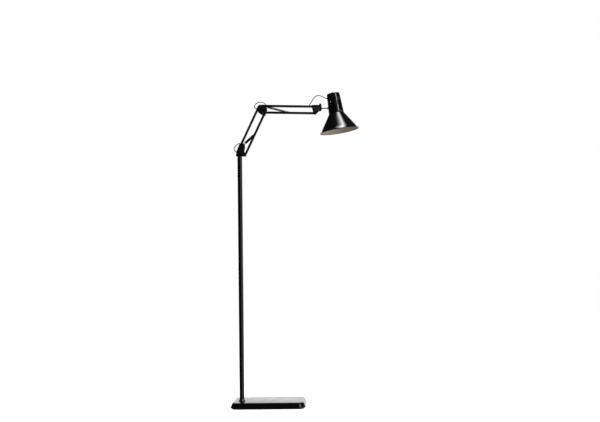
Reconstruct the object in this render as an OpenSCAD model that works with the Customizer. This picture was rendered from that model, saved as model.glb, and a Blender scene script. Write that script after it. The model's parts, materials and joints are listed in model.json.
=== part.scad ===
// Adjustable arm floor lamp. Millimetres, +Z up.
// Origin: the pole's axis at floor level. The arm reaches towards +X.

/* [Stand] */
// Length of the base, along X
base_l = 345; // [300:5:600]
// Width of the base, along Y
base_w = 275; // [220:5:300]
// Height of the base
base_h = 30; // [26:1:36]
// Distance from the pole's axis to the near end of the base
pole_from_end = 48; // [44:1:80]
// Distance from the pole's axis to the front edge of the base
pole_from_front = 98; // [80:1:120]
// Outer diameter of the pole
pole_d = 22; // [21:1:25]
// Height of the pole's top above the floor
pole_h = 1163; // [600:1:1350]

/* [Arms] */
// Width of the square arm bars
bar_w = 10; // [9.6:0.1:10]
// Wall of the square arm bars
bar_wall = 1; // [0.8:0.1:1.2]
// Pivot distance of the two lower bars
lower_len = 206; // [190:1:300]
// Lean of the lower bars from upright
lower_lean = 25.5; // [15:0.5:35]
// Pivot distance of the two upper bars
upper_len = 232; // [220:1:320]
// Slope of the upper bars below level
upper_drop = 1.3; // [0:0.1:6]
// Diameter of the cord
cord_d = 3.8; // [3.4:0.1:3.8]

/* [Head] */
// Diameter of the shade's opening
shade_d = 184; // [160:1:200]
// Height of the shade's cone
cone_len = 84; // [75:1:90]
// Height of the cap
cap_len = 94; // [92:1:100]
// Diameter of the cap at its top
cap_top_d = 60; // [58:1:64]
// Diameter of the cap where it meets the cone
cap_low_d = 71.4; // [70:0.1:74]
// Lean of the head, opening away from the pole
head_lean = 9.2; // [6:0.1:12]
// Number of vent slots in each row
vents = 18; // [14:1:20]

/* [Hidden] */
$fn = 64;

// base
pad_h = 2;
plate_top = 6;
cover_t = 2;
corner_r = 36;
side_slope = 8;
plate_inset = 7;
pad_inset = 10;
ballast_inset = 15;
screw_inset = 45;
ballast_h = 12;
base_mid = [base_l / 2 - pole_from_end, base_w / 2 - pole_from_front];
outlet_z = 13;
outlet_d = 10;
outlet_bore = 6.2;
screw_d = 5;
screw_head_d = 10;
foot_bolt_d = 10;
foot_head_d = 20;
foot_head_h = 2.2;
foot_bolt_len = 30;

// pole
pole_wall = 1.5;
pole_in = pole_d - 2 * pole_wall;
flange_d = 34;
flange_h = 3;
ring_d = 27;
ring_h = 4;
bush_lip = 2.2;
bush_len = 40;
spindle_d = 12;
thread_d = 8;
thread_len = 9;
top_nut_d = 12.6;
top_nut_h = 5;
foot_web_t = 2;
foot_rise = 7;
cord_way = 5;

// brackets: two cheeks beside the bars
cheek_in = 5.8;
cheek_t = 1.5;
cheek_out = cheek_in + cheek_t;
plate_r = 4.6;
fit = 0.05;
bolt_d = 4;
head_d = 8.5;
nut_d = 8.1;
nut_h = 3.2;
washer_d = 9;
washer_t = 0.7;

// pivots and other places in the X-Z plane
lower_dir = [sin(lower_lean), cos(lower_lean)];
upper_dir = [cos(upper_drop), -sin(upper_drop)];
lower_gap = [-23.5, 38];
upper_gap = [-11, 31];
front_foot = [25.5, pole_h + foot_rise + 2];
back_foot = front_foot + lower_gap;
front_top = front_foot + lower_len * lower_dir;
back_top = front_top + lower_gap;
under_start = front_top + [4.3, 10.2];
over_start = under_start + upper_gap;
under_end = under_start + upper_len * upper_dir;
over_end = under_end + upper_gap;
knuckle_at = under_end + [27, 22.5];
cap_at = knuckle_at + [58, 69.3];

// springs
lower_hook = front_foot + [-6, 49];
lower_catch = front_foot + 106 * lower_dir;
upper_hook = under_start + [2, 28];
upper_catch = under_start + 115 * upper_dir;
stud_d = 3;
lower_spring_d = 9;
upper_spring_d = 8.4;
lower_spring_y = 12.4;
upper_spring_y = 12.2;
spring_wire = 1.2;

// bar ends and cord holes
tip_len = 6;
spigot_len = 4;
spigot_w = bar_w - 2 * bar_wall - 0.2;
hole_at = 13;
grommet_d = 6;
grommet_lip = 1;
grommet_in = 1.4;
cord_start = bar_w / 2 + grommet_lip;
cord_gap = 0.4;
cord_lead = 2;

// bracket outlines, as centres of their rounded corners
swivel_outline = [for (p = [[-38.5, -2], [-35, 17], [-22, 48.5], [-6, 49], [-5, 37], [-9, 14], [0.5, 0.5],
    [-1, -2]]) front_foot + p];
elbow_outline = [for (p = [[-26.5, 34.5], [-20, 41.5], [6.5, 41.5], [11, 24], [3, 0], [-3, 0], [-23, 15]])
    front_top + p];
head_outline = [for (p = [[-11, 33.5], [27.5, 33.5], [27.5, 15.5], [15.5, 13], [2.5, -1.5], [-3, 2],
    [-9.5, 29]]) under_end + p];

// where the cord enters the swivel bracket, and the spindle's shoulder
web_angle = atan2(swivel_outline[1].y - swivel_outline[0].y, swivel_outline[1].x - swivel_outline[0].x);
web_hole = 16;
web_out = [-sin(web_angle), cos(web_angle)];
web_entry = swivel_outline[0] + web_hole * [cos(web_angle), sin(web_angle)] + plate_r * web_out;
spindle_top = pole_h + foot_rise - plate_r;
spindle_foot = pole_h - bush_len - 4;

// pivots of each bracket, and the square direction across each arm
elbow_points = [front_top, back_top, under_start, over_start];
elbow_spacer = front_top + [-9, 24];
spacer_d = 6;
head_points = [under_end, over_end];
lower_angle = 90 - lower_lean;
lower_side = [-lower_dir.y, lower_dir.x];
upper_side = [-upper_dir.y, upper_dir.x];

// head
wall = 1.2;
edge_r = 5;
cap_slope = (cap_low_d - cap_top_d) / 2 / cap_len;
rim_z = -cap_len - cone_len;
lining_r = cap_low_d / 2 - 2 * wall;
vent_w = 4;
vent_h = 20;
vent_rows = [[15, 0.25], [38, 0.75]];
stem_d = 5;
stem_len = 47;
knuckle_d = 13;
bridge_z = -24;
bridge_w = 16;
holder_d = 36;
holder_bore = 27;
holder_len = 42;
bulb_r = 30;
bulb_neck_r = 14.5;
bulb_tip = -150;
switch_d = 20;
switch_bore = 12.3;
button_d = 12;
switch_hole = 14.4;
knob_x = -1.3;
knob_d = 10;
knob_h = 6.5;
cap_gland = 19;
stem_nut_d = 11;
stem_nut_h = 3;
outer_nut_x = 31;
inner_nut_x = 37.4;

// cord loops: centre line points, each from a named pivot
base_loop = [for (p = [[-7, 15], [-13, 11.5], [-19.5, 6], [-25, 0], [-27.8, -6], [-27, -12.5], [-24, -18.5],
    [-21, -22]]) back_foot + p];
elbow_loop = [for (p = [[-18.5, -6], [-20, 1], [-17.5, 8], [-12, 14], [-4, 18.5], [6, 20.5], [16, 19.5],
    [24, 16.5]]) back_top + p];
head_loop = [for (p = [[-8.5, 15], [-6, 19], [0, 29], [6, 39], [13.5, 46.5], [23, 50.5], [33, 51],
    [43, 47.5], [52, 43], [60, 39]]) over_end + p];

black = [0.06, 0.06, 0.065];
steel = [0.62, 0.62, 0.64];
rubber = [0.12, 0.12, 0.12];
white = [0.92, 0.9, 0.85];

// Places children at a point of the X-Z plane, their X axis at an angle above level
module at(p, angle = 0) translate([p.x, 0, p.y]) rotate([0, -angle, 0]) children();

// Round bar across the arm, from y0 to y1
module across(p, d, y0, y1) translate([p.x, y0, p.y]) rotate([-90, 0, 0]) cylinder(d = d, h = y1 - y0);

// Rounded rectangle from exact arcs
module round_rect(l, w, r) {
    square([l - 2 * r, w], center = true);
    square([l, w - 2 * r], center = true);
    for (x = [-1, 1], y = [-1, 1]) translate([x * (l / 2 - r), y * (w / 2 - r)]) circle(r);
}

// Outline r outside the given points, listed clockwise: arcs round its corners, plain points in its hollows
function grown(points, r) = [for (i = [0:len(points) - 1])
    let (n = len(points), p = points[i],
        into = unit(p - points[(i + n - 1) % n]), out = unit(points[(i + 1) % n] - p),
        side = [-into.y, into.x], next = [-out.y, out.x], start = atan2(side.y, side.x),
        turn = atan2(into.y * out.x - into.x * out.y, into * out), steps = ceil(turn / 15))
    each turn > 0 ? [for (k = [0:steps]) let (a = start - turn * k / steps) p + r * [cos(a), sin(a)]]
        : [p + r * (side + next) / (1 + side * next)]];

// The two cheeks of a pressed bracket, drilled at the given points
module cheeks(points, holes) difference() {
    for (y = [-cheek_out, cheek_in])
        translate([0, y + cheek_t, 0]) rotate([90, 0, 0]) linear_extrude(cheek_t)
            polygon(grown(points, plate_r));
    for (p = holes) across(p, bolt_d + 2 * fit, -20, 20);
}

// The web that joins the cheeks, just inside the edge from p to q
module web(p, q, t) at(p, atan2(q.y - p.y, q.x - p.x))
    translate([0, -cheek_out + 0.5, plate_r - t - 0.1]) cube([norm(q - p), 2 * cheek_out - 1, t]);

// Pivot bolt with a low domed head on the front side
module pivot_bolt(p) {
    across(p, bolt_d, -cheek_out, cheek_out + nut_h + 0.8);
    translate([p.x, -cheek_out, p.y]) rotate([90, 0, 0]) rotate_extrude()
        polygon([[0, 0], [head_d / 2, 0], for (a = [0:15:90]) [head_d / 2 * cos(a), 0.6 + 1.7 * sin(a)]]);
}

module pivot_nut(p) translate([p.x, cheek_out, p.y]) rotate([-90, 0, 0]) difference() {
    cylinder(d = nut_d, h = nut_h, $fn = 6);
    translate([0, 0, -1]) cylinder(d = bolt_d + 2 * fit, h = nut_h + 2);
}

// Thin washer on each side of a bar
module pivot_washers(p) for (y = [-cheek_in, cheek_in - washer_t]) difference() {
    across(p, washer_d, y, y + washer_t);
    across(p, bolt_d + 0.2, y - 1, y + 2);
}

// Square tube between two bar ends, open at both, with a hole for each cord grommet
module bar_tube(length, cord_holes, pin_at) difference() {
    translate([tip_len, -bar_w / 2, -bar_w / 2]) cube([length - 2 * tip_len, bar_w, bar_w]);
    translate([0, bar_wall - bar_w / 2, bar_wall - bar_w / 2])
        cube([length, bar_w - 2 * bar_wall, bar_w - 2 * bar_wall]);
    if (cord_holes)
        for (x = [hole_at, length - hole_at]) translate([x, 0, 0]) cylinder(d = grommet_d, h = bar_w);
    if (pin_at > 0)
        translate([pin_at, -bar_w, 0]) rotate([-90, 0, 0]) cylinder(d = stud_d + 2 * fit, h = 2 * bar_w);
}

// Moulded end of a bar: a round drilled tip and a spigot inside the tube
module bar_end() difference() {
    union() {
        rotate([90, 0, 0]) cylinder(d = bar_w, h = bar_w, center = true);
        translate([0, -bar_w / 2, -bar_w / 2]) cube([tip_len, bar_w, bar_w]);
        translate([tip_len, -spigot_w / 2, -spigot_w / 2]) cube([spigot_len, spigot_w, spigot_w]);
    }
    rotate([90, 0, 0]) cylinder(d = bolt_d + 2 * fit, h = 2 * bar_w, center = true);
}

module bar_ends(length) {
    bar_end();
    translate([length, 0, 0]) mirror([1, 0, 0]) bar_end();
}

// Rubber ring in a wall whose outer face is at z = 0
module grommet() rotate_extrude() polygon([
    [cord_d / 2 + fit, -grommet_in], [grommet_d / 2, -grommet_in], [grommet_d / 2, 0],
    [grommet_d / 2 + 1.2, 0], [grommet_d / 2 + 0.9, grommet_lip], [cord_d / 2 + fit, grommet_lip]]);

// Studs on the outside of both cheeks, where the springs hook on
module spring_studs(p, y) for (s = [-1, 1]) {
    ends = s > 0 ? [cheek_out, y + 4, y + 4, y + 5] : [-y - 4, -cheek_out, -y - 5, -y - 4];
    across(p, stud_d, ends[0], ends[1]);
    across(p, stud_d + 2, ends[2], ends[3]);
}

// Pin through a bar, with a small head beyond each spring
module spring_pin(p, y) {
    across(p, stud_d, -y - 4, y + 4);
    for (s = [-y - 5, y + 4]) across(p, stud_d + 2, s, s + 1);
}

// Extension spring as its plain envelope, with a straight eye wire at each end
module spring(p, q, y, d) at(p, atan2(q.y - p.y, q.x - p.x)) translate([0, y, 0]) rotate([0, 90, 0]) {
    length = norm(q - p);
    eye = 9;
    translate([0, 0, eye]) cylinder(d = d, h = length - 2 * eye);
    translate([0, 0, stud_d / 2 + 0.4]) cylinder(d = spring_wire, h = length - stud_d - 0.8);
}

function unit(v) = v / norm(v);
function heading(path, i) = unit(path[min(i + 1, len(path) - 1)] - path[max(i - 1, 0)]);

// Round cord swept along a path in the X-Z plane
module cord(path, d = cord_d, sides = 8) {
    rings = [for (i = [0:len(path) - 1]) let (t = heading(path, i)) for (k = [0:sides - 1])
        let (a = 360 * k / sides, out = d / 2 * cos(a))
            [path[i].x - out * t.y, d / 2 * sin(a), path[i].y + out * t.x]];
    last = len(rings) - sides;
    polyhedron(rings, [[for (k = [0:sides - 1]) k], [for (k = [sides - 1:-1:0]) last + k],
        for (i = [0:len(path) - 2], k = [0:sides - 1]) let (n = (k + 1) % sides)
            [i * sides + k, (i + 1) * sides + k, (i + 1) * sides + n, i * sides + n]]);
}

// Two points of a cord that stands straight out of a grommet in a wall at p
function straight_out(p, out) = [p + (grommet_lip + cord_gap) * out, p + (grommet_lip + cord_lead) * out];
function turned(pair) = [pair[1], pair[0]];

// Cord inside a bar, from one grommet to the other
module cord_in_bar(length) cord([
    [hole_at, cord_start], [hole_at, 2.8], [hole_at + 2, 0.6], [hole_at + 7, 0],
    [length - hole_at - 7, 0], [length - hole_at - 2, 0.6], [length - hole_at, 2.8],
    [length - hole_at, cord_start]]);

// Places children on the head: origin at the centre of the cap's top, +Z out of the cap
module on_head() at(cap_at, 0) rotate([0, -head_lean, 0]) children();

function cap_r(z) = cap_top_d / 2 - z * cap_slope;

// Outside of the shade's neck, h above the cap's lower edge
function neck_r(h) = cap_r(h - cap_len) - wall - 0.2;

// ---- stand ----

// Solid with sloping sides, inset from the base's outline
module base_form(inset, z0, z1) translate([base_mid.x, base_mid.y, 0]) hull() {
    r = corner_r - inset;
    top_r = r - side_slope;
    for (x = [-1, 1], y = [-1, 1])
        translate([x * (base_l / 2 - corner_r), y * (base_w / 2 - corner_r), 0]) rotate_extrude($fn = 48)
            polygon([[0, z0], [r, z0], [top_r, z1 - 3], [top_r - 1, z1 - 1], [top_r - 3, z1], [0, z1]]);
}

module base_cover() color(black) difference() {
    base_form(0, plate_top, base_h);
    base_form(cover_t, plate_top - 1, base_h - cover_t);
    cylinder(d = pole_d + 0.4, h = base_h + 1);
    translate([0, base_mid.y, outlet_z]) rotate([-90, 0, 0]) cylinder(d = outlet_d, h = base_w);
}

module base_plate() color(black) difference() {
    translate([base_mid.x, base_mid.y, pad_h]) linear_extrude(plate_top - pad_h)
        round_rect(base_l - 2 * plate_inset, base_w - 2 * plate_inset, corner_r - plate_inset);
    translate([0, 0, -1]) cylinder(d = foot_bolt_d + 0.4, h = base_h);
    translate([0, 0, -1]) cylinder(d = foot_head_d + 0.6, h = pad_h + foot_head_h + 1.3);
    base_holes(screw_d + 0.4);
}

module base_pad() color(rubber) difference() {
    translate([base_mid.x, base_mid.y, 0]) linear_extrude(pad_h)
        round_rect(base_l - 2 * pad_inset, base_w - 2 * pad_inset, corner_r - pad_inset);
    base_holes(screw_head_d + 2);
}

// Places children where the plate is screwed to the ballast
module at_base_screws() translate([base_mid.x, base_mid.y, 0])
    for (x = [-1, 1], y = [-1, 1])
        translate([x * (base_l / 2 - screw_inset), y * (base_w / 2 - screw_inset), 0]) children();

module base_holes(d) at_base_screws() translate([0, 0, -1]) cylinder(d = d, h = base_h / 2 + 4);

module ballast() color([0.3, 0.3, 0.31]) difference() {
    translate([base_mid.x, base_mid.y, plate_top]) linear_extrude(ballast_h)
        round_rect(base_l - 2 * ballast_inset, base_w - 2 * ballast_inset, corner_r - ballast_inset);
    translate([0, 0, plate_top - 1]) cylinder(d = pole_d + 0.6, h = base_h);
    translate([-outlet_d / 2 - 1, 0, plate_top - 1]) cube([outlet_d + 2, base_w, base_h]);
    base_holes(screw_d + 0.2);
}

module base_screws() color(steel) at_base_screws() translate([0, 0, 0.4]) {
    cylinder(d = screw_head_d, h = pad_h - 0.4);
    cylinder(d = screw_d, h = plate_top + 8);
}

module cable_outlet() color(rubber)
    translate([0, base_mid.y + base_w / 2 - 7, outlet_z]) rotate([-90, 0, 0]) rotate_extrude()
        polygon([[outlet_bore / 2, 0], [outlet_d / 2 - fit, 0], [outlet_d / 2 - fit, 7.2],
            [outlet_d / 2 + 1.5, 7.2], [outlet_d / 2 + 1, 9], [outlet_bore / 2, 9]]);

module pole() color(black) difference() {
    translate([0, 0, plate_top]) cylinder(d = pole_d, h = pole_h - plate_top);
    translate([0, 0, plate_top - 1]) cylinder(d = pole_in, h = pole_h);
}

module pole_flange() color(black) difference() {
    translate([0, 0, base_h]) cylinder(d1 = flange_d, d2 = flange_d - 2, h = flange_h);
    cylinder(d = pole_d + 0.2, h = base_h + 20);
}

module pole_ring() color(steel) difference() {
    translate([0, 0, base_h + flange_h]) cylinder(d = ring_d, h = ring_h);
    cylinder(d = pole_d + 0.2, h = base_h + 20);
}

module foot_insert() color(steel) difference() {
    translate([0, 0, plate_top]) cylinder(d = pole_in, h = foot_bolt_len);
    cylinder(d = foot_bolt_d + 0.2, h = 2 * foot_bolt_len);
}

module foot_bolt() color(steel) translate([0, 0, pad_h + 0.1]) {
    cylinder(d = foot_head_d, h = foot_head_h);
    cylinder(d = foot_bolt_d, h = foot_bolt_len);
}

module pole_bush() color(black) difference() {
    union() {
        translate([0, 0, pole_h - bush_len]) cylinder(d = pole_in, h = bush_len);
        translate([0, 0, pole_h]) cylinder(d = pole_d - 0.6, h = bush_lip);
    }
    translate([0, 0, pole_h - bush_len - 1]) cylinder(d = spindle_d + 2 * fit, h = bush_len + 5);
}

// ---- swivel bracket ----

module swivel_bracket() color(black) difference() {
    union() {
        cheeks(swivel_outline, [front_foot, back_foot]);
        web(swivel_outline[0], swivel_outline[1], cheek_t);
        web(front_foot + [-8, -2], swivel_outline[0], foot_web_t);
    }
    cylinder(d = thread_d + 0.2, h = pole_h + 30);
    at(swivel_outline[0], web_angle) translate([web_hole, 0, 0]) cylinder(d = grommet_d, h = 20);
}

module swivel_spindle() color(steel) difference() {
    union() {
        translate([0, 0, spindle_foot]) cylinder(d = spindle_d, h = spindle_top - spindle_foot);
        translate([0, 0, spindle_top]) cylinder(d = thread_d, h = thread_len);
    }
    translate([0, 0, spindle_foot - 1]) cylinder(d = cord_way, h = bush_len + 30);
}

module spindle_nut() color(steel) translate([0, 0, spindle_top + foot_web_t + 0.2]) difference() {
    cylinder(d = top_nut_d, h = top_nut_h, $fn = 6);
    translate([0, 0, -1]) cylinder(d = thread_d + 2 * fit, h = top_nut_h + 2);
}

module swivel_pivots() color(steel) for (p = [front_foot, back_foot]) pivot_bolt(p);
module swivel_nuts() color(steel) for (p = [front_foot, back_foot]) pivot_nut(p);
module swivel_washers() color(white) for (p = [front_foot, back_foot]) pivot_washers(p);
module lower_spring_studs() color(steel) spring_studs(lower_hook, lower_spring_y);
module lower_spring_near() color(black) spring(lower_hook, lower_catch, -lower_spring_y, lower_spring_d);
module lower_spring_far() color(black) spring(lower_hook, lower_catch, lower_spring_y, lower_spring_d);

module bracket_grommet() color(rubber) at(swivel_outline[0], web_angle)
    translate([web_hole, 0, plate_r]) grommet();

module base_cord_loop() color(rubber) cord(concat(
    straight_out(back_foot + hole_at * lower_dir + bar_w / 2 * lower_side, lower_side), base_loop,
    turned(straight_out(web_entry, web_out))));

// ---- lower arm ----

module lower_back_bar() color(black) at(back_foot, lower_angle) bar_tube(lower_len, true, 0);
module lower_back_ends() color(black) at(back_foot, lower_angle) bar_ends(lower_len);
module lower_grommets() color(rubber) at(back_foot, lower_angle)
    for (x = [hole_at, lower_len - hole_at]) translate([x, 0, bar_w / 2]) grommet();
module lower_arm_cord() color(rubber) at(back_foot, lower_angle) cord_in_bar(lower_len);
module lower_front_bar() color(black) at(front_foot, lower_angle)
    bar_tube(lower_len, false, norm(lower_catch - front_foot));
module lower_front_ends() color(black) at(front_foot, lower_angle) bar_ends(lower_len);
module lower_spring_pin() color(steel) spring_pin(lower_catch, lower_spring_y);

// ---- elbow ----

module elbow_bracket() color(black) {
    cheeks(elbow_outline, elbow_points);
    across(elbow_spacer, spacer_d, -cheek_in - cheek_t / 2, cheek_in + cheek_t / 2);
}
module elbow_pivots() color(steel) for (p = elbow_points) pivot_bolt(p);
module elbow_nuts() color(steel) for (p = elbow_points) pivot_nut(p);
module elbow_washers() color(white) for (p = elbow_points) pivot_washers(p);
module upper_spring_studs() color(steel) spring_studs(upper_hook, upper_spring_y);
module upper_spring_near() color(black) spring(upper_hook, upper_catch, -upper_spring_y, upper_spring_d);
module upper_spring_far() color(black) spring(upper_hook, upper_catch, upper_spring_y, upper_spring_d);
module elbow_cord_loop() color(rubber) cord(concat(
    straight_out(back_top - hole_at * lower_dir + bar_w / 2 * lower_side, lower_side), elbow_loop,
    turned(straight_out(over_start + hole_at * upper_dir + bar_w / 2 * upper_side, upper_side))));

// ---- upper arm ----

module upper_top_bar() color(black) at(over_start, -upper_drop) bar_tube(upper_len, true, 0);
module upper_top_ends() color(black) at(over_start, -upper_drop) bar_ends(upper_len);
module upper_grommets() color(rubber) at(over_start, -upper_drop)
    for (x = [hole_at, upper_len - hole_at]) translate([x, 0, bar_w / 2]) grommet();
module upper_arm_cord() color(rubber) at(over_start, -upper_drop) cord_in_bar(upper_len);
module upper_bottom_bar() color(black) at(under_start, -upper_drop)
    bar_tube(upper_len, false, norm(upper_catch - under_start));
module upper_bottom_ends() color(black) at(under_start, -upper_drop) bar_ends(upper_len);
module upper_spring_pin() color(steel) spring_pin(upper_catch, upper_spring_y);

// ---- head bracket and knuckle ----

module head_bracket() color(black) difference() {
    union() {
        cheeks(head_outline, concat(head_points, [knuckle_at]));
        web(head_outline[0] + [13, 0], head_outline[1], cheek_t);
    }
    translate([knuckle_at.x + knob_x, 0, knuckle_at.y + 8]) cylinder(d = bolt_d + 2 * fit, h = 20);
}
module head_pivots() color(steel) for (p = head_points) pivot_bolt(p);
module head_nuts() color(steel) for (p = head_points) pivot_nut(p);
module head_washers() color(white) for (p = head_points) pivot_washers(p);

module clamp_knob() color(black) translate([knuckle_at.x + knob_x, 0, 0]) {
    bottom = head_outline[0].y + plate_r + 0.3;
    difference() {
        translate([0, 0, bottom]) cylinder(d = knob_d, h = knob_h);
        for (a = [0:20:340]) rotate(a) translate([knob_d / 2 + 0.3, 0, bottom - 1])
            cylinder(d = 1.2, h = knob_h + 2, $fn = 16);
    }
    translate([0, 0, knuckle_at.y + knuckle_d / 2 + 0.05])
        cylinder(d = bolt_d, h = bottom - knuckle_at.y - knuckle_d / 2);
}

module knuckle() color(steel) difference() {
    union() {
        across(knuckle_at, knuckle_d, -cheek_in + 0.1, cheek_in - 0.1);
        across(knuckle_at, bolt_d, -cheek_out - 1.5, cheek_out + 1.5);
        for (y = [-cheek_out - 1.6, cheek_out + 0.1]) across(knuckle_at, washer_d, y, y + 1.5);
    }
    translate([knuckle_at.x - 10, 0, knuckle_at.y]) rotate([0, 90, 0])
        cylinder(d = stem_d + 2 * fit, h = 20);
}

module head_cord_loop() color(rubber) cord(concat(
    straight_out(over_end - hole_at * upper_dir + bar_w / 2 * upper_side, upper_side), head_loop,
    turned(straight_out(cap_at + cap_r(-cap_gland) * [-cos(head_lean), -sin(head_lean)]
        + cap_gland * [sin(head_lean), -cos(head_lean)], [-cos(head_lean), -sin(head_lean)]))));

// ---- head ----

module stem() color(steel) translate([knuckle_at.x, 0, knuckle_at.y]) rotate([0, 90, 0]) {
    translate([0, 0, -knuckle_d / 2 + 0.5]) cylinder(d = stem_d, h = stem_len);
    for (x = [outer_nut_x, inner_nut_x])
        translate([0, 0, x]) cylinder(d = stem_nut_d, h = stem_nut_h, $fn = 6);
}

module cap() color(black) difference() {
    on_head() difference() {
        rotate_extrude($fn = 96) polygon([[switch_hole / 2, 0], [cap_top_d / 2 - edge_r, 0],
            for (a = [75:-15:15]) [cap_top_d / 2 - edge_r * (1 - cos(a)), edge_r * (sin(a) - 1)],
            [cap_r(-edge_r), -edge_r], [cap_r(-cap_len), -cap_len], [cap_r(-cap_len) - wall, -cap_len],
            [cap_r(-edge_r) - wall, -edge_r], [cap_top_d / 2 - edge_r, -wall], [switch_hole / 2, -wall]]);
        for (row = vent_rows, k = [0:vents - 1]) {
            a = 180 + (k + row[1]) * 360 / vents;
            // no upper slot on the side where the cord enters
            if (row[0] > cap_gland || k != 0)
                rotate(a) translate([20, -vent_w / 2, -row[0] - vent_h]) cube([30, vent_w, vent_h]);
        }
        translate([-20, 0, -cap_gland]) rotate([0, -90, 0]) cylinder(d = grommet_d, h = 30);
    }
    translate([knuckle_at.x + 20, 0, knuckle_at.y]) rotate([0, 90, 0]) cylinder(d = stem_d + 1, h = 40);
}

module shade() color(black) on_head() rotate_extrude($fn = 96) polygon([
    [neck_r(8), -cap_len + 8], [neck_r(0), -cap_len], [neck_r(0), -cap_len - 1],
    [cap_low_d / 2, -cap_len - 1.5], [shade_d / 2 - 0.6, rim_z + 1.4], [shade_d / 2, rim_z + 1.2],
    [shade_d / 2 + 0.5, rim_z + 0.2], [shade_d / 2 - 0.3, rim_z], [shade_d / 2 - wall - 0.6, rim_z + 0.4],
    [lining_r, -cap_len - 1.5 - wall], [neck_r(8) - wall, -cap_len + 8]]);

module reflector() color(white) on_head() rotate_extrude($fn = 96) polygon([
    [lining_r - 1.4, -cap_len + 6], [lining_r - 0.3, -cap_len - 2.9],
    [shade_d / 2 - wall - 1.4, rim_z + 0.8], [shade_d / 2 - wall - 2.2, rim_z + 0.8],
    [lining_r - 1.1, -cap_len - 2.9], [lining_r - 2.2, -cap_len + 6]]);

// Lampholder under a bridge that spans the cap
module lampholder() color([0.16, 0.16, 0.16]) on_head() {
    span = 2 * (cap_r(bridge_z) - wall - 1.5);
    translate([-bridge_w / 2, -span / 2, bridge_z]) cube([bridge_w, span, 2]);
    translate([0, 0, bridge_z - holder_len]) difference() {
        cylinder(d = holder_d, h = holder_len);
        translate([0, 0, -1]) cylinder(d = holder_bore, h = holder_len - 12);
    }
}

// Bulb with its screw cap
module bulb() color(white) on_head() rotate_extrude() polygon([[0, -40], [5, -40], [7, -43], [13.1, -44],
    [13.1, -66],
    for (t = [0:1 / 6:1.01]) [bulb_neck_r + (bulb_r - bulb_neck_r) * t, -68 - 50 * t],
    for (a = [0:10:90]) [bulb_r * cos(a), bulb_tip + bulb_r * (1 - sin(a))]]);

module switch_body() color([0.1, 0.1, 0.1]) on_head() difference() {
    translate([0, 0, -19]) cylinder(d = switch_d, h = 19 - wall);
    translate([0, 0, -8]) cylinder(d = switch_bore, h = 12);
}

module switch_button() color(black) on_head() translate([0, 0, -4]) cylinder(d = button_d, h = 9);

base_cover();
base_plate();
base_pad();
ballast();
base_screws();
cable_outlet();
pole();
pole_flange();
pole_ring();
foot_insert();
foot_bolt();
pole_bush();
swivel_bracket();
swivel_spindle();
spindle_nut();
swivel_pivots();
swivel_nuts();
swivel_washers();
lower_spring_studs();
lower_spring_near();
lower_spring_far();
bracket_grommet();
base_cord_loop();
lower_back_bar();
lower_back_ends();
lower_grommets();
lower_arm_cord();
lower_front_bar();
lower_front_ends();
lower_spring_pin();
elbow_bracket();
elbow_pivots();
elbow_nuts();
elbow_washers();
upper_spring_studs();
upper_spring_near();
upper_spring_far();
elbow_cord_loop();
upper_top_bar();
upper_top_ends();
upper_grommets();
upper_arm_cord();
upper_bottom_bar();
upper_bottom_ends();
upper_spring_pin();
head_bracket();
head_pivots();
head_nuts();
head_washers();
clamp_knob();
knuckle();
head_cord_loop();
stem();
cap();
shade();
reflector();
lampholder();
bulb();
switch_body();
switch_button();
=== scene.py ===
import json
import math
import bmesh
import bpy
from mathutils import Matrix, Vector


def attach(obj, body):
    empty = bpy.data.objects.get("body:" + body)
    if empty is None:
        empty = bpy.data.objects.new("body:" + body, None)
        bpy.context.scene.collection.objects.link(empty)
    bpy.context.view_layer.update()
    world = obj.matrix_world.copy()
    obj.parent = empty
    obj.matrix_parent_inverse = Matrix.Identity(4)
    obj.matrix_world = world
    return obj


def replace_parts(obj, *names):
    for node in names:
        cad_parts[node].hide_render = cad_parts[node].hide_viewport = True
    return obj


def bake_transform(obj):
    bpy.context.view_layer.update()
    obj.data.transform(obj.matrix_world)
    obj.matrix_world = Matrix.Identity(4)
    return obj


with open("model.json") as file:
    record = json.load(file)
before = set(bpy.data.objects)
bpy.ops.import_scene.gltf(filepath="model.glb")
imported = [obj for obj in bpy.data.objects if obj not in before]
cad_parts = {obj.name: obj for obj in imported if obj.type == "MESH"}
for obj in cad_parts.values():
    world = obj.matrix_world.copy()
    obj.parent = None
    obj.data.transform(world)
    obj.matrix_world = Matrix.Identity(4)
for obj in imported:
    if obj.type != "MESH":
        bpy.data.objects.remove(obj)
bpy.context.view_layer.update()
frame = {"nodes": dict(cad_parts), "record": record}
scene = bpy.context.scene
mm = 0.001

joints = {j["name"]: j for j in frame["record"]["behaviour"]["joints"]}
pivot = {name: Vector(j["pos_m"]) for name, j in joints.items() if "pos_m" in j}
backFoot, backTop = pivot["lower_arm_tilt"], pivot["elbow_follow"]
frontFoot = pivot["lower_front_follow"]
overStart, overEnd = pivot["upper_arm_tilt"], pivot["head_mount_follow"]
underStart = pivot["upper_bottom_follow"]
knuckle = pivot["head_tilt"]
poleTop = pivot["arm_swivel"].z
headUp = Vector(joints["switch_push"]["axis"])
headLean = math.asin(-headUp.x)
lowerDir = (backTop - backFoot).normalized()
upperDir = (overEnd - overStart).normalized()


def acrossArm(direction):  # the square direction in the arm's own plane, to its upper left
    return Vector((-direction.z, 0, direction.x))


cameraValues = {
    "fromPole": (0.43, -5.1),
    "height": 0.59,
    "lens": 65.91,
    "shift": (-0.0559, 0.1143),
    "roll": -0.54,
}


def makeCamera(values):
    data = bpy.data.cameras.new("camera")
    data.lens = values["lens"]
    data.sensor_width = 36
    data.shift_x, data.shift_y = values["shift"]
    camera = bpy.data.objects.new("camera", data)
    scene.collection.objects.link(camera)
    camera.location = (*values["fromPole"], values["height"])
    camera.rotation_euler = (math.radians(90), 0, 0)
    camera.rotation_euler.rotate_axis("Z", math.radians(values["roll"]))
    scene.camera = camera


makeCamera(cameraValues)
print("camera placed")


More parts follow.
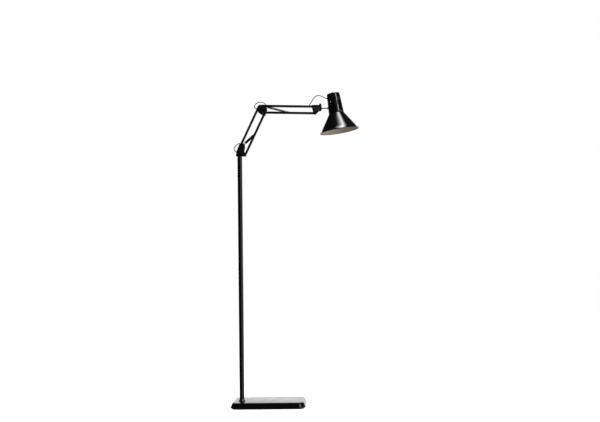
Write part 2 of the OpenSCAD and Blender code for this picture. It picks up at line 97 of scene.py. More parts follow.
def hexToLinear(code):
    parts = [int(code[i : i + 2], 16) / 255 for i in (1, 3, 5)]
    return (*[c / 12.92 if c <= 0.04045 else ((c + 0.055) / 1.055) ** 2.4 for c in parts], 1)


def addNode(tree, kind, settings=None, links=None):
    node = tree.nodes.new(kind)
    for key, value in (settings or {}).items():
        if isinstance(key, int) or key in node.inputs:
            node.inputs[key].default_value = value
        else:
            setattr(node, key, value)
    for key, source in (links or {}).items():
        tree.links.new(source, node.inputs[key])
    return node


def meshObject(name, mesh):
    piece = bpy.data.objects.new(name, mesh)
    scene.collection.objects.link(piece)
    return piece


def fromBmesh(name, bm):
    mesh = bpy.data.meshes.new(name)
    bm.to_mesh(mesh)
    bm.free()
    return meshObject(name, mesh)


def evaluated(piece):  # the piece as a plain mesh, its modifiers applied
    graph = bpy.context.evaluated_depsgraph_get()
    mesh = bpy.data.meshes.new_from_object(piece.evaluated_get(graph), depsgraph=graph)
    name = piece.name
    bpy.data.objects.remove(piece)
    mesh.name = name
    return meshObject(name, mesh)


def smoothShade(piece, sharpAngle=32):
    piece.data.shade_smooth()
    piece.data.set_sharp_from_angle(angle=math.radians(sharpAngle))
    return piece


def rounded(piece, width, segments=2, sharpAngle=32, bevelFrom=38):
    bevel = piece.modifiers.new("edges", "BEVEL")
    bevel.width = width
    bevel.segments = segments
    bevel.limit_method = "ANGLE"
    bevel.angle_limit = math.radians(bevelFrom)
    return smoothShade(evaluated(piece), sharpAngle)


def softened(node, width, segments=2):  # a cleaned copy of a CAD node with its edges broken
    bm = bmesh.new()
    bm.from_mesh(frame["nodes"][node].data)
    bmesh.ops.remove_doubles(bm, verts=bm.verts, dist=1e-6)
    bmesh.ops.dissolve_limit(bm, angle_limit=math.radians(0.8), verts=bm.verts, edges=bm.edges)
    return rounded(fromBmesh(node + "Soft", bm), width, segments)


def lathe(name, profile, segments, place, closed=True):
    bm = bmesh.new()
    rings = []
    for radius, height in profile:
        if radius < 1e-7:
            rings.append([bm.verts.new(place @ Vector((0, 0, height)))])
            continue
        angles = [2 * math.pi * k / segments for k in range(segments)]
        rings.append([bm.verts.new(place @ Vector((radius * math.cos(a), radius * math.sin(a), height)))
                      for a in angles])
    pairs = list(zip(rings, rings[1:] + rings[:1])) if closed else list(zip(rings, rings[1:]))
    for one, two in pairs:
        if len(one) == 1 and len(two) == 1:
            continue
        for k in range(segments):
            n = (k + 1) % segments
            if len(one) == 1:
                bm.faces.new((one[0], two[k], two[n]))
            elif len(two) == 1:
                bm.faces.new((one[k], two[0], one[n]))
            else:
                bm.faces.new((one[k], two[k], two[n], one[n]))
    bmesh.ops.recalc_face_normals(bm, faces=bm.faces)
    return fromBmesh(name, bm)


def arcPoints(centre, radius, start, end, steps):
    turns = [math.radians(start + (end - start) * k / steps) for k in range(steps + 1)]
    return [(centre[0] + radius * math.cos(a), centre[1] + radius * math.sin(a)) for a in turns]


def finishPiece(piece, material, body, slot, *nodes):
    piece.data.materials.clear()
    piece.data.materials.append(material)
    for face in piece.data.polygons:
        face.material_index = 0
    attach(piece, body)
    if nodes:
        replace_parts(piece, *nodes)
    return piece


def coordinates(tree):
    return addNode(tree, "ShaderNodeTexCoord").outputs["Object"]


def startMaterial(name):
    material = bpy.data.materials.new(name)
    material.use_nodes = True
    tree = material.node_tree
    tree.nodes.clear()
    return material, tree


def noise(tree, where, size, detail, roughness=0.5):  # size in mm
    settings = {"Scale": 1 / (size * mm), "Detail": detail, "Roughness": roughness}
    return addNode(tree, "ShaderNodeTexNoise", settings, {"Vector": where}).outputs["Fac"]


def betweenTones(tree, values, share):
    tones = {"data_type": "RGBA", 6: hexToLinear(values["dark"]), 7: hexToLinear(values["light"])}
    return addNode(tree, "ShaderNodeMix", tones, {0: share}).outputs[2]


def finishMaterial(tree, settings, links):
    shader = addNode(tree, "ShaderNodeBsdfPrincipled", settings, links)
    addNode(tree, "ShaderNodeOutputMaterial", {}, {"Surface": shader.outputs[0]})


def paintMaterial(name, values):
    # colour drifts a little between two tones, gloss varies in soft patches, and the film has a
    # fine skin
    material, tree = startMaterial(name)
    where = coordinates(tree)
    patches = noise(tree, where, values["patch"], 3, 0.6)
    grain = noise(tree, where, values["grain"], 2, 0.55)
    low, high = values["gloss"]
    ramp = {"From Min": 0.3, "From Max": 0.7, "To Min": low, "To Max": high}
    gloss = addNode(tree, "ShaderNodeMapRange", ramp, {"Value": patches})
    peel = {"Strength": values["skin"], "Distance": values["grain"] * mm * 0.2}
    skin = addNode(tree, "ShaderNodeBump", peel, {"Height": grain})
    finishMaterial(tree, {"IOR": values["ior"], "Metallic": 0.0},
                   {"Base Color": betweenTones(tree, values, patches), "Roughness": gloss.outputs[0],
                    "Normal": skin.outputs[0]})
    return material


markHeight = 0.04 * mm


def metalMaterial(name, values):
    # plated or bare metal: cloudy tone, fine rub marks
    material, tree = startMaterial(name)
    where = coordinates(tree)
    marks = noise(tree, where, values["mark"], 4, 0.7)
    cloud = noise(tree, where, values["cloud"], 2)
    low, high = values["gloss"]
    gloss = addNode(tree, "ShaderNodeMapRange", {"To Min": low, "To Max": high}, {"Value": marks})
    bump = addNode(tree, "ShaderNodeBump", {"Strength": values["depth"], "Distance": markHeight},
                   {"Height": marks})
    finishMaterial(tree, {"Metallic": 1.0},
                   {"Base Color": betweenTones(tree, values, cloud), "Roughness": gloss.outputs[0],
                    "Normal": bump.outputs[0]})
    return material


# stoved gloss enamel on spun steel: deep black, sharp reflections with a faint orange peel
shadeEnamel = paintMaterial("stovedGlossEnamel", {
    "dark": "#070707", "light": "#0d0d0e", "patch": 60, "grain": 1.4, "gloss": (0.10, 0.17),
    "skin": 0.05, "ior": 1.5})
# gloss powder coat on the pole and base: a little more peel and a softer reflection than enamel
standCoat = paintMaterial("glossPowderCoat", {
    "dark": "#08080a", "light": "#0e0e10", "patch": 45, "grain": 1.1, "gloss": (0.16, 0.24),
    "skin": 0.09, "ior": 1.5})
# satin powder coat on the arms and brackets: close even grain, broad dull highlights
armCoat = paintMaterial("satinPowderCoat", {
    "dark": "#040404", "light": "#09090a", "patch": 25, "grain": 0.55, "gloss": (0.30, 0.40),
    "skin": 0.16, "ior": 1.5})
# moulded nylon with a spark-eroded tool finish: matt, slightly greyer than the paint
blackNylon = paintMaterial("mouldedBlackNylon", {
    "dark": "#101011", "light": "#19191a", "patch": 8, "grain": 0.35, "gloss": (0.42, 0.55),
    "skin": 0.28, "ior": 1.53})
# natural nylon washers: waxy, milky
naturalNylon = paintMaterial("naturalNylon", {
    "dark": "#d9d5c6", "light": "#e9e6da", "patch": 6, "grain": 0.4, "gloss": (0.35, 0.45),
    "skin": 0.1, "ior": 1.53})
# PVC cord sheath: satin black with a faint texture
cordSheath = paintMaterial("pvcSheath", {
    "dark": "#0c0c0d", "light": "#171718", "patch": 12, "grain": 0.5, "gloss": (0.36, 0.48),
    "skin": 0.2, "ior": 1.52})
# moulded rubber: matt, dusty in patches
mouldedRubber = paintMaterial("mouldedRubber", {
    "dark": "#121212", "light": "#212120", "patch": 10, "grain": 0.6, "gloss": (0.65, 0.8),
    "skin": 0.3, "ior": 1.5})
# warm white enamel inside the shade: soft reflections, slightly creamy; both tones are dulled to a beige
# grey, painted shade for the dim inside of the shade
dulledEnamelPaintedShade = paintMaterial("warmEnamelPaintedShade", {
    "dark": "#bcb09d", "light": "#c9beac", "patch": 40, "grain": 1.2, "gloss": (0.28, 0.38),
    "skin": 0.06, "ior": 1.5})
# black primer on the hidden side of the base plate
platePrimer = paintMaterial("blackPrimer", {
    "dark": "#0b0b0b", "light": "#171716", "patch": 30, "grain": 0.9, "gloss": (0.5, 0.62),
    "skin": 0.25, "ior": 1.5})
# bright zinc plate on the screws, pole ring, spindle and its nut, and the stem's outer nut: cool
# silver with a cloudy passivate
zincPlate = metalMaterial("brightZincPlate", {
    "dark": "#a9acb0", "light": "#cdd0d3", "mark": 0.5, "cloud": 5, "gloss": (0.2, 0.38),
    "depth": 0.25})
# black oxide on the pivots and their nuts, spring pins, knuckle and stem: dark, oily, mottled
blackOxide = metalMaterial("blackOxideSteel", {
    "dark": "#161618", "light": "#262629", "mark": 0.5, "cloud": 3, "gloss": (0.28, 0.42),
    "depth": 0.25})
# black oxide spring wire: dark, with an oily sheen
springWire = metalMaterial("blackOxideWire", {
    "dark": "#08080a", "light": "#131315", "mark": 0.4, "cloud": 4, "gloss": (0.38, 0.5),
    "depth": 0.3})
# sand-cast iron of the ballast: coarse and dull
castIron = metalMaterial("sandCastIron", {
    "dark": "#2b2b2c", "light": "#3d3c3b", "mark": 1.5, "cloud": 12, "gloss": (0.6, 0.8),
    "depth": 0.9})
# nickel-plated screw cap of the bulb
nickelCap = metalMaterial("nickelPlate", {
    "dark": "#b7b2a6", "light": "#d6d1c6", "mark": 0.6, "cloud": 4, "gloss": (0.18, 0.3),
    "depth": 0.2})


def opalGlass(values):
    # opal-coated glass: a glossy outer face over a milky white layer that light gets into
    material, tree = startMaterial("opalGlass")
    where = coordinates(tree)
    haze = noise(tree, where, values["haze"], 3)
    low, high = values["gloss"]
    gloss = addNode(tree, "ShaderNodeMapRange", {"To Min": low, "To Max": high}, {"Value": haze})
    scatter = {"Subsurface Weight": 0.35, "Subsurface Scale": values["depth"] * mm}
    finishMaterial(tree, {"IOR": 1.5, **scatter},
                   {"Base Color": betweenTones(tree, values, haze), "Roughness": gloss.outputs[0]})
    return material


bulbGlass = opalGlass({
    "dark": "#e6e2d8", "light": "#f2efe7", "haze": 15, "gloss": (0.12, 0.2), "depth": 4})
print("materials made")


def sweepTree():
    tree = bpy.data.node_groups.new("tubeAlongPath", "GeometryNodeTree")
    tree.interface.new_socket("Path", in_out="INPUT", socket_type="NodeSocketGeometry")
    kinds = {"Radius": "NodeSocketFloat", "Sides": "NodeSocketInt", "Material": "NodeSocketMaterial"}
    for name, kind in kinds.items():
        tree.interface.new_socket(name, in_out="INPUT", socket_type=kind)
    tree.interface.new_socket("Mesh", in_out="OUTPUT", socket_type="NodeSocketGeometry")
    inside = addNode(tree, "NodeGroupInput")
    ring = addNode(tree, "GeometryNodeCurvePrimitiveCircle", {},
                   {"Resolution": inside.outputs["Sides"], "Radius": inside.outputs["Radius"]})
    tube = addNode(tree, "GeometryNodeCurveToMesh", {"Fill Caps": True},
                   {"Curve": inside.outputs["Path"], "Profile Curve": ring.outputs[0]})
    smooth = addNode(tree, "GeometryNodeSetShadeSmooth", {}, {0: tube.outputs[0]})
    real = addNode(tree, "GeometryNodeRealizeInstances", {}, {0: smooth.outputs[0]})
    dressed = addNode(tree, "GeometryNodeSetMaterial", {},
                      {"Geometry": real.outputs[0], "Material": inside.outputs["Material"]})
    addNode(tree, "NodeGroupOutput", {}, {0: dressed.outputs[0]})
    return tree


tubeTree = sweepTree()


def sweep(name, points, radius, sides, material):
    curve = bpy.data.curves.new(name, "CURVE")
    curve.dimensions = "3D"
    line = curve.splines.new("POLY")
    line.points.add(len(points) - 1)
    for point, place in zip(line.points, points):
        point.co = (*place, 1)
    piece = bpy.data.objects.new(name, curve)
    scene.collection.objects.link(piece)
    tube = piece.modifiers.new("tube", "NODES")
    tube.node_group = tubeTree
    given = {"Radius": radius, "Sides": sides, "Material": material}
    for socket in tubeTree.interface.items_tree:
        if socket.name in given and socket.in_out == "INPUT":
            tube[socket.identifier] = given[socket.name]
    return evaluated(piece)


def smoothPath(points, steps):  # a soft curve through every point, which leaves and arrives straight
    ends = [points[0] * 2 - points[1], *points, points[-1] * 2 - points[-2]]
    path = []
    for a, b, c, d in zip(ends, ends[1:], ends[2:], ends[3:]):
        for k in range(steps):
            t = k / steps
            path.append(0.5 * (2 * b + (c - a) * t + (2 * a - 5 * b + 4 * c - d) * t * t
                               + (3 * b - a - 3 * c + d) * t ** 3))
    return [*path, points[-1]]


cordValues = {
    "diameter": 3.8 * mm,
    "holeFromPivot": 13 * mm,
    "barFace": 5 * mm,
    "lead": 3 * mm,
    "deep": 1.6 * mm,
    "baseLoop": [(-7, 15), (-13, 11.5), (-19.5, 6), (-25, 0), (-27.8, -6), (-27, -12.5), (-24, -18.5),
                 (-21, -22)],
    "elbowLoop": [(-18.5, -6), (-20, 1), (-17.5, 8), (-12, 14), (-4, 18.5), (6, 20.5), (16, 19.5),
                  (24, 16.5)],
    "headLoop": [(-8.5, 15), (-6, 19), (0, 29), (6, 39), (13.5, 46.5), (23, 50.5), (33, 51), (43, 47.5),
                 (52, 43), (60, 39)],
    "capFromKnuckle": (58, 69.3),
    "glandBelowTop": 19,
    "glandFromAxis": 31.2,
    "web": ((-15, -40), (-11.5, -21)),
    "webHole": 16,
    "webFace": 4.6,
}


def routeFrom(start, points):
    return [start + Vector((x, 0, z)) * mm for x, z in points]


capTop = routeFrom(knuckle, [cordValues["capFromKnuckle"]])[0]
headPlace = Matrix.Translation(capTop) @ Matrix.Rotation(-headLean, 4, "Y")
hole = cordValues["holeFromPivot"]


def straightOut(place, out):  # two points on a hole's axis: inside its grommet and past its lip
    return [place - out * cordValues["deep"], place + out * cordValues["lead"]]


def barHole(foot, direction, along):
    side = acrossArm(direction)
    return straightOut(foot + direction * along + side * cordValues["barFace"], side)


webFoot, webTop = routeFrom(backFoot, cordValues["web"])
webDir = (webTop - webFoot).normalized()
webSide = acrossArm(webDir)
webEntry = webFoot + (webDir * cordValues["webHole"] + webSide * cordValues["webFace"]) * mm
capSide = headPlace.to_3x3() @ Vector((-1, 0, 0))
glandEntry = headPlace @ (Vector((-cordValues["glandFromAxis"], 0, -cordValues["glandBelowTop"])) * mm)


def cordPiece(name, path, first, last):
    part = path[first : last + 1]
    piece = sweep(name, part, cordValues["diameter"] / 2, 12, cordSheath)
    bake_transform(piece)
    return piece


def makeCords():
    base = smoothPath([*barHole(backFoot, lowerDir, hole), *routeFrom(backFoot, cordValues["baseLoop"]),
                       *reversed(straightOut(webEntry, webSide))], 6)
    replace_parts(cordPiece("baseCord", base, 0, len(base) - 1),
                "base_cord_loop")
    elbow = smoothPath([*barHole(backTop, lowerDir, -hole),
                        *routeFrom(backTop, cordValues["elbowLoop"]),
                        *reversed(barHole(overStart, upperDir, hole))], 6)
    middle = len(elbow) // 2
    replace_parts(cordPiece("elbowCordLower", elbow, 0, middle),
                "elbow_cord_loop")
    cordPiece("elbowCordUpper", elbow, middle, len(elbow) - 1)
    head = smoothPath([*barHole(overEnd, upperDir, -hole), *routeFrom(overEnd, cordValues["headLoop"]),
                       *reversed(straightOut(glandEntry, capSide))], 6)
    one, two = len(head) * 3 // 12, len(head) * 10 // 12
    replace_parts(cordPiece("headCordArm", head, 0, one), "head_cord_loop")
    cordPiece("headCordMiddle", head, one, two)
    cordPiece("headCordCap", head, two, len(head) - 1)


makeCords()
print("cords made")


springValues = {
    "wire": 1.2, "pitch": 1.62, "lead": 9, "eye": 2.3,
    "lower": {"coil": 9, "out": 12.4, "hook": (-6, 49), "catch": 106},
    "upper": {"coil": 8.4, "out": 12.2, "hook": (2, 28), "catch": 115},
}


def springPath(start, end, coilRadius, side):
    # hook round the stud, straight lead, close coil, straight lead, hook round the pin
    along = (end - start).normalized()
    up = acrossArm(along)
    out = Vector((0, side, 0))
    eye, lead = springValues["eye"] * mm, springValues["lead"] * mm
    length = (end - start).length - 2 * lead
    turns = max(3, round(length / (springValues["pitch"] * mm)))
    steps = turns * 12
    path = []
    for k in range(10):
        a = math.radians(150 - 30 * k)
        path.append(start - along * (eye * math.cos(a)) + up * (eye * math.sin(a)))
    for k in range(steps + 1):
        a = 2 * math.pi * k / 12
        coil = up * math.cos(a) + out * math.sin(a)
        path.append(start + along * (lead + length * k / steps) + coil * coilRadius)
    for k in range(10):
        a = math.radians(120 - 30 * k)
        path.append(end + along * (eye * math.cos(a)) + up * (eye * math.sin(a)))
    return path


def makeSprings(which, foot, direction):
    values, wire = springValues[which], springValues["wire"] * mm
    radius = (values["coil"] * mm - wire) / 2
    for name, side in (("near", -1), ("far", 1)):
        shift = Vector((0, side * values["out"] * mm, 0))
        hook = routeFrom(foot, [values["hook"]])[0] + shift
        catch = foot + direction * values["catch"] * mm + shift
        path = springPath(hook, catch, radius, side)
        piece = sweep(f"{which}Spring{name.title()}", path, wire / 2, 6, springWire)
        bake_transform(piece)
        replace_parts(piece, f"{which}_spring_{name}")


makeSprings("lower", frontFoot, lowerDir)
makeSprings("upper", underStart, upperDir)
print("springs made")


standValues = {
    "length": 345, "width": 275, "height": 30, "corner": 36, "fromEnd": 48, "fromFront": 98,
    "coverFoot": 6, "side": 7.5, "edge": 3.5, "sheet": 2, "poleRadius": 11, "poleWall": 1.5,
}


def roundedRectangle(values, inset, height, steps=14):
    halfLength, halfWidth = values["length"] / 2 - inset, values["width"] / 2 - inset
    radius = values["corner"] - inset
    middle = (values["length"] / 2 - values["fromEnd"], values["width"] / 2 - values["fromFront"])
    loop = []
    for corner, (sx, sy) in enumerate(((1, 1), (-1, 1), (-1, -1), (1, -1))):
        centre = (middle[0] + sx * (halfLength - radius), middle[1] + sy * (halfWidth - radius))
        loop += arcPoints(centre, radius, 90 * corner, 90 * corner + 90, steps)
    return [Vector((x, y, height)) * mm for x, y in loop]


def makeBaseCover(values):
    # an inset and a height for each ring, from the rolled foot to the rounded shoulder
    foot, top, edge, side = (values[key] for key in ("coverFoot", "height", "edge", "side"))
    levels = [(0.7, foot), (0.15, foot + 0.6), (0, foot + 1.4)]
    levels += [(side * t, foot + 1.4 + (top - edge - foot - 1.4) * t) for t in (0.34, 0.67, 1)]
    turns = [math.radians(a) for a in (22, 40, 58, 74, 90)]
    levels += [(side + 0.9 + edge * (1 - math.cos(a)), top - edge * (1 - math.sin(a))) for a in turns]
    bm = bmesh.new()
    rings = [[bm.verts.new(p) for p in roundedRectangle(values, inset, height)]
             for inset, height in levels]
    count = len(rings[0])
    for low, high in zip(rings, rings[1:]):
        for k in range(count):
            n = (k + 1) % count
            bm.faces.new((low[k], low[n], high[n], high[k]))
    bm.faces.new(rings[-1])
    bmesh.ops.remove_doubles(bm, verts=bm.verts, dist=1e-6)
    bmesh.ops.recalc_face_normals(bm, faces=bm.faces)
    cover = fromBmesh("baseCover", bm)
    shell = cover.modifiers.new("sheet", "SOLIDIFY")
    shell.thickness = values["sheet"] * mm
    shell.offset = -1
    cover = smoothShade(evaluated(cover), 50)
    finishPiece(cover, standCoat, "stand", "stand_powder_coat", "base_cover")


def makePole(values):
    outer, inner = values["poleRadius"] * mm, (values["poleRadius"] - values["poleWall"]) * mm
    foot, edge = values["coverFoot"] * mm, 0.4 * mm
    profile = [(inner, foot), (outer, foot), (outer, poleTop - edge), (outer - edge, poleTop),
               (inner, poleTop)]
    pole = smoothShade(lathe("poleTube", profile, 96, Matrix.Identity(4)))
    finishPiece(pole, standCoat, "stand", "stand_powder_coat", "pole")


makeBaseCover(standValues)
makePole(standValues)
print("stand made")


headValues = {
    "capTop": 30, "capLow": 35.7, "capLength": 94, "capEdge": 5, "wall": 1.2, "switchHole": 7.2,
    "topRings": (14, 20), "highRings": (9, 14), "lowRings": (62, 72, 82),
    "vents": 18, "ventRows": ((15, 35), (38, 58)), "ventWidth": 4, "ventEnd": 1.2, "ventTurn": 0.25,
    "shadeRadius": 92, "coneLength": 84, "coneRings": (8, 20, 35, 50, 65), "bead": 1.1,
    "glandBore": 1.95, "glandRadius": 4.0, "glandLip": 0.7,
}


def capRadius(depth):
    v = headValues
    return v["capTop"] + (v["capLow"] - v["capTop"]) * depth / v["capLength"]


def coneRadius(depth):  # below the cap's foot
    v = headValues
    return v["capLow"] + (v["shadeRadius"] - v["capLow"]) * (depth - 1.5) / v["coneLength"]


def ventIsOpen(values, number, column, high, low):
    # whether the cell of the wall between two depths is cut away; the slot at the cord stays shut
    end, slack = values["ventEnd"], 0.1
    for row, (top, bottom) in enumerate(values["ventRows"]):
        first = 5 * row
        if row == 0 and number == 0:
            continue
        if first <= column < first + 3 and high >= top - slack and low <= bottom + slack:
            whole = high >= top + end - slack and low <= bottom - end + slack
            if whole or column == first + 1:
                return True
    return False


def makeCap(values):
    pitch = 360 / values["vents"]
    slot = math.degrees(values["ventWidth"] / capRadius(36))
    gap = (pitch - 2 * slot) / 2
    angles = []
    for k in range(values["vents"]):
        start = 180 + (k + values["ventTurn"]) * pitch - slot / 2
        for first in (start, start + slot + gap):
            angles += [first + slot * share for share in (0, 0.2, 0.8, 1)]
            angles.append(first + slot + gap / 2)
    count, columns = len(angles), 10
    edge, length = values["capEdge"], values["capLength"]
    turns = [math.radians(a) for a in (0, 15, 30, 45, 60, 75, 88)]
    levels = [(radius, 0) for radius in (values["switchHole"], *values["topRings"])]
    levels += [(values["capTop"] - edge * (1 - math.sin(a)), edge * (1 - math.cos(a))) for a in turns]
    depths = [*values["highRings"]]
    for top, bottom in values["ventRows"]:
        depths += [top, top + values["ventEnd"], bottom - values["ventEnd"], bottom]
    levels += [(capRadius(d), d) for d in (*depths, *values["lowRings"], length - 1)]
    levels.append((capRadius(length) - 0.5, length))
    bm = bmesh.new()
    rings = []
    for radius, depth in levels:
        around = [(radius * math.cos(math.radians(a)), radius * math.sin(math.radians(a)), -depth)
                  for a in angles]
        rings.append([bm.verts.new(headPlace @ (Vector(point) * mm)) for point in around])
    for row in range(len(levels) - 1):
        high, low = rings[row], rings[row + 1]
        for k in range(count):
            n = (k + 1) % count
            if not ventIsOpen(values, k // columns, k % columns, levels[row][1], levels[row + 1][1]):
                bm.faces.new((high[k], low[k], low[n], high[n]))
    bmesh.ops.recalc_face_normals(bm, faces=bm.faces)
    cap = fromBmesh("ventedCap", bm)
    shell = cap.modifiers.new("wall", "SOLIDIFY")
    shell.thickness = values["wall"] * mm
    shell.offset = -1
    cap = rounded(evaluated(cap), 0.25 * mm, 2, 40)
    finishPiece(cap, shadeEnamel, "head", "shade_enamel", "cap")


def makeShade(values):
    neck, long, wall, bead = (values[key] for key in ("capLength", "coneLength", "wall", "bead"))
    inner = values["capLow"] - wall - 0.2
    profile = [(inner, -neck + 8), (inner, -neck - 0.9), (values["capLow"] - 0.2, -neck - 1.0),
               (values["capLow"] + 0.1, -neck - 1.5)]
    profile += [(coneRadius(d) + 0.1, -neck - d) for d in (*values["coneRings"], long - 3.4)]
    profile += arcPoints((values["shadeRadius"] - 0.9, -neck - long + bead), bead, 75, -190, 10)
    inside = (long - 4, *reversed(values["coneRings"]), 2.4)
    profile += [(coneRadius(d) - wall, -neck - d) for d in inside]
    profile += [(inner - 1, -neck - 0.5), (inner - 1, -neck + 8)]
    profile = [(r * mm, z * mm) for r, z in profile]
    shade = smoothShade(lathe("shadeCone", profile, 160, headPlace), 45)
    finishPiece(shade, shadeEnamel, "head", "shade_enamel", "shade")


def makeReflector(values):
    neck, wall = values["capLength"], values["wall"]
    top = values["capLow"] - 2 * wall - 1.4
    outer = [(top, -neck + 6), (top + 0.2, -neck - 2)]
    depths = (4, 20, 40, 60, values["coneLength"] - 1.6)
    outer += [(coneRadius(d) - wall - 0.25, -neck - d) for d in depths]
    inner = [(r - 0.6, z) for r, z in reversed(outer)]
    profile = [(r * mm, z * mm) for r, z in outer + inner]
    liner = smoothShade(lathe("shadeLining", profile, 128, headPlace), 45)
    finishPiece(liner, dulledEnamelPaintedShade, "head", "white_lining", "reflector")


bulbValues = {
    "radius": 30, "tip": 150, "neckRadius": 14.5, "neckTop": 68, "neckLength": 50, "collar": 13.4,
    "foot": 66, "thread": 12.6, "threadHeight": 0.7, "contact": ((8, 44.5), (5, 42), (0, 41.5)),
}


def makeBulb(values):
    radius, slim, foot = values["radius"], values["neckRadius"], values["foot"]
    profile = [(0, -foot), (values["collar"], -foot)]
    for k in range(11):
        width = slim + (radius - slim) * (0.5 - 0.5 * math.cos(math.pi * k / 10))
        profile.append((width, -values["neckTop"] - values["neckLength"] * k / 10))
    profile += arcPoints((0, radius - values["tip"]), radius, 0, -90, 16)[1:]
    profile = [(r * mm, z * mm) for r, z in profile]
    bulb = smoothShade(lathe("bulbGlobe", profile, 96, headPlace, closed=False), 60)
    finishPiece(bulb, bulbGlass, "head", "opal_glass", "bulb")
    profile = [(0, -foot - 0.2)]
    for k in range(34):
        ridge = values["threadHeight"] * math.cos(k * math.pi / 3)
        profile.append((values["thread"] + ridge, k * 0.6 - foot))
    profile += [(radius, -depth) for radius, depth in values["contact"]]
    profile = [(r * mm, z * mm) for r, z in profile]
    screw = smoothShade(lathe("bulbScrewCap", profile, 64, headPlace, closed=False), 60)
    finishPiece(screw, nickelCap, "head", "zinc_plate")


def makeGland(values):
    # a rubber ring in the cap's wall, round the cord
    wall = capRadius(cordValues["glandBelowTop"])
    place = headPlace @ Matrix.Translation(Vector((-wall, 0, -cordValues["glandBelowTop"])) * mm)
    place = place @ Matrix.Rotation(math.radians(-90), 4, "Y")
    inner, outer, lip = values["glandBore"], values["glandRadius"], values["glandLip"]
    profile = [(inner, -2.2), (outer - 0.6, -2.2), (outer - 0.6, 0), (outer, 0.1), (outer, 0.5)]
    profile += arcPoints((outer - lip, 0.5), lip, 0, 90, 5)[1:]
    profile += [(inner + 0.2, 0.5 + lip), (inner, 0.3 + lip)]
    ring = lathe("capGland", [(r * mm, z * mm) for r, z in profile], 48, place)
    finishPiece(smoothShade(ring), mouldedRubber, "head", "black_rubber")


makeCap(headValues)
makeGland(headValues)
makeShade(headValues)
makeReflector(headValues)
makeBulb(bulbValues)
print("head made")


softPieces = {
    "satin powder coat": (armCoat, "arm_powder_coat", {
        "swivel_bracket": 0.4, "elbow_bracket": 0.4, "head_bracket": 0.4, "lower_back_bar": 0.7,
        "lower_front_bar": 0.7, "upper_top_bar": 0.7, "upper_bottom_bar": 0.7}),
    "gloss powder coat": (standCoat, "stand_powder_coat", {"pole_flange": 0.6}),
    "black oxide": (blackOxide, "black_oxide", {
        "swivel_pivots": 0.15, "elbow_pivots": 0.15, "head_pivots": 0.15, "lower_spring_studs": 0.3,
        "lower_spring_pin": 0.3, "upper_spring_studs": 0.3, "upper_spring_pin": 0.3, "swivel_nuts": 0.25,
        "elbow_nuts": 0.25, "head_nuts": 0.25, "knuckle": 0.3, "stem": 0.25}),
    "black nylon": (blackNylon, "black_plastic", {
        "lower_back_ends": 0.4, "lower_front_ends": 0.4, "upper_top_ends": 0.4, "upper_bottom_ends": 0.4,
        "clamp_knob": 0.2, "switch_button": 0.6, "switch_body": 0.3, "lampholder": 0.5}),
    "zinc": (zincPlate, "zinc_plate", {"pole_ring": 0.5, "spindle_nut": 0.4, "swivel_spindle": 0.3}),
    "rubber": (mouldedRubber, "black_rubber", {"cable_outlet": 0.4}),
}
brightNut = {"node": "stem", "from": 30.8 * mm, "to": 34.2 * mm}
bodyOf = {node: body for body, nodes in frame["record"]["behaviour"]["bodies"].items() for node in nodes}
for material, slot, widths in softPieces.values():
    for node, width in widths.items():
        piece = finishPiece(softened(node, width * mm), material, bodyOf[node], slot, node)
        if node == brightNut["node"]:
            piece.data.materials.append(zincPlate)
            for face in piece.data.polygons:
                along = face.center.x - knuckle.x
                if brightNut["from"] < along < brightNut["to"]:
                    face.material_index = 1
print("arms and fixings softened")

plainPieces = {
    "base_plate": platePrimer, "base_pad": mouldedRubber, "ballast": castIron, "base_screws": zincPlate,
    "foot_insert": zincPlate, "foot_bolt": zincPlate, "pole_bush": blackNylon,
    "swivel_washers": naturalNylon, "elbow_washers": naturalNylon, "head_washers": naturalNylon,
    "bracket_grommet": mouldedRubber,
    "lower_grommets": mouldedRubber, "upper_grommets": mouldedRubber, "lower_arm_cord": cordSheath,
    "upper_arm_cord": cordSheath,
}
for node, material in plainPieces.items():
    piece = frame["nodes"][node]
    piece.data.materials.clear()
    piece.data.materials.append(material)


floorValues = {
    "reach": 14, "dark": "#ecebe9", "light": "#f1f0ee", "mottle": 1250, "glow": 0.96,
}


def makeFloor(values):
    floor = fromBmesh("floor", bmesh.new())
    reach = values["reach"]
    corners = [(-reach, -reach, 0), (reach, -reach, 0), (reach, reach, 0), (-reach, reach, 0)]
    floor.data.from_pydata(corners, [], [(0, 1, 2, 3)])
    material, tree = startMaterial("paleFloor")
    mottle = noise(tree, coordinates(tree), values["mottle"], 2)
    glow = {"Emission Color": (1, 1, 1, 1), "Emission Strength": values["glow"]}
    finishMaterial(tree, {"Roughness": 0.8, **glow}, {"Base Color": betweenTones(tree, values, mottle)})
    floor.data.materials.append(material)
    floor.visible_glossy = False  # the studio round the lamp is what its gloss shows
    floor.visible_diffuse = False


studioValues = {
    "ambient": 0.03, "ambientRise": (-0.6, 0.2),
    "right": 0.8, "rightEdge": (0.08, 0.4), "rightBack": (0.2, 0.75), "rightTop": (0.18, 0.36),
    "behind": 1.25, "behindEdge": (0.86, 0.96), "behindTop": (0.3, 0.6),
    "below": 0.235, "belowTop": (-0.45, -0.2),
}


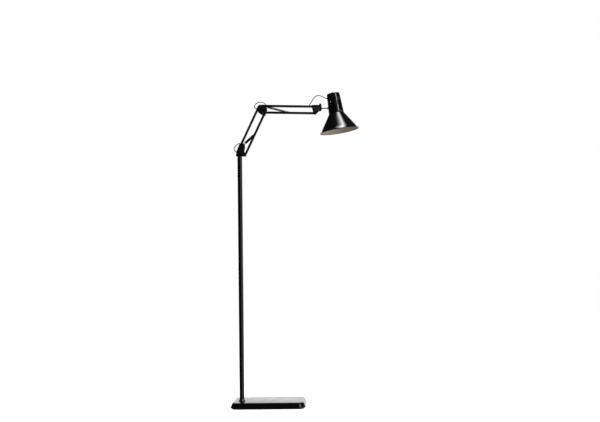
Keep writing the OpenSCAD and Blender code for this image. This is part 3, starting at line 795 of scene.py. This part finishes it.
def makeWorld(values):
    # plain white to the eye; reflections see a low wall of light to the right, a bright wall
    # behind, a dim floor, and the rest dark
    world = bpy.data.worlds.new("studio")
    scene.world = world
    world.use_nodes = True
    tree = world.node_tree
    tree.nodes.clear()
    toward = addNode(tree, "ShaderNodeTexCoord").outputs["Generated"]
    parts = addNode(tree, "ShaderNodeSeparateXYZ", {}, {0: toward}).outputs

    def window(axis, span, low, high):
        start, end = values[span]
        ramp = {"interpolation_type": "SMOOTHSTEP", "From Min": start, "From Max": end,
                "To Min": low, "To Max": high}
        return addNode(tree, "ShaderNodeMapRange", ramp, {"Value": parts[axis]}).outputs[0]

    def combine(operation, one, two):
        return addNode(tree, "ShaderNodeMath", {"operation": operation}, {0: one, 1: two}).outputs[0]

    right = combine("MULTIPLY", window("X", "rightEdge", 0, values["right"]),
                    window("Y", "rightBack", 1, 0.2))
    right = combine("MULTIPLY", right, window("Z", "rightTop", 1, 0))
    behind = combine("MULTIPLY", window("Y", "behindEdge", 0, values["behind"]),
                     window("Z", "behindTop", 1, 0.1))
    walls = combine("MAXIMUM", right, behind)
    lit = combine("ADD", walls, window("Z", "ambientRise", values["ambient"] * 0.5, values["ambient"]))
    lit = combine("MAXIMUM", lit, window("Z", "belowTop", values["below"], 0))
    seen = addNode(tree, "ShaderNodeLightPath").outputs["Is Camera Ray"]
    strength = addNode(tree, "ShaderNodeMix", {3: 1.0}, {0: seen, 2: lit})
    white = {"Color": (1, 1, 1, 1)}
    light = addNode(tree, "ShaderNodeBackground", white, {"Strength": strength.outputs[0]})
    addNode(tree, "ShaderNodeOutputWorld", {}, {"Surface": light.outputs[0]})


lightValues = {
    "overheadWide": {"from": (0.55, -0.2, 3.3), "to": (0.45, 0, 1.3),
        "size": (1.2, 1.5), "power": 16},
    "overheadMiddle": {"from": (0.62, -0.2, 3.29), "to": (0.52, 0, 1.3),
        "size": (0.75, 1.5), "power": 18},
    "overheadNarrow": {"from": (0.68, -0.2, 3.28), "to": (0.58, 0, 1.3),
        "size": (0.36, 1.5), "power": 14},
    "right": {"from": (2.65, -2.44, 2.6), "to": (0.45, 0, 1.4),
        "size": (0.7, 1.3), "power": 30},
}


def makeLight(name, values):
    data = bpy.data.lights.new(name, "AREA")
    data.shape = "RECTANGLE"
    data.size, data.size_y = values["size"]
    data.energy = values["power"]
    lamp = bpy.data.objects.new(name, data)
    scene.collection.objects.link(lamp)
    lamp.location = values["from"]
    aim = Vector(values["to"]) - Vector(values["from"])
    lamp.rotation_euler = aim.to_track_quat("-Z", "Y").to_euler()


makeFloor(floorValues)
makeWorld(studioValues)
for name, values in lightValues.items():
    makeLight(name, values)
scene.view_settings.view_transform = "Standard"
print("studio made")
